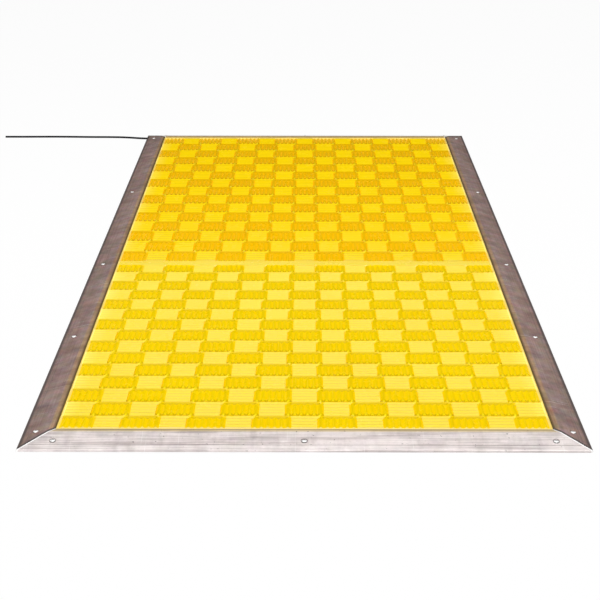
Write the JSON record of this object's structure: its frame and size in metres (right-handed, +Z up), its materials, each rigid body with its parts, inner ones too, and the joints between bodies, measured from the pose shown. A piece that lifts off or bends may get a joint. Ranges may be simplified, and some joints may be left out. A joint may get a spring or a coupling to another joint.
{
  "type": "safety mat",
  "caption": "Pressure-sensitive yellow safety mat with a basket-weave tread in a ramped aluminium frame, with a black cable",
  "frame": {"origin": "middle of the frame's underside, on the floor", "axes": "X to the right, Y from the front edge towards the rear, Z up"},
  "size_m": [1.22, 1.84, 0.0133],
  "materials": {
    "yellow_tread": "satin",
    "yellow_base": "satin",
    "contact_steel": "satin",
    "grey_foam": "matte",
    "red_wire": "satin",
    "ramp_aluminium": "satin",
    "rail_aluminium": "satin",
    "screw_steel": "satin",
    "black_rubber": "matte",
    "black_jacket": "satin"
  },
  "bodies": {
    "root": {"rear_tread": "yellow_tread", "front_tread": "yellow_tread", "rear_base_sheet": "yellow_base", "front_base_sheet": "yellow_base", "rear_upper_plate": "contact_steel", "front_upper_plate": "contact_steel", "rear_lower_plate": "contact_steel", "front_lower_plate": "contact_steel", "rear_spacers": "grey_foam", "front_spacers": "grey_foam", "rear_plate_leads": "red_wire", "front_plate_leads": "red_wire", "left_ramp": "ramp_aluminium", "right_ramp": "ramp_aluminium", "front_ramp": "ramp_aluminium", "rear_ramp": "ramp_aluminium", "left_base_rail": "rail_aluminium", "right_base_rail": "rail_aluminium", "front_base_rail": "rail_aluminium", "rear_base_rail": "rail_aluminium", "left_screws": "screw_steel", "right_screws": "screw_steel", "front_screws": "screw_steel", "rear_screws": "screw_steel", "rear_lead_boot": "black_rubber", "rear_link_boot": "black_rubber", "front_link_boot": "black_rubber", "link_lead": "black_jacket", "cable": "black_jacket"}
  },
  "joints": []
}
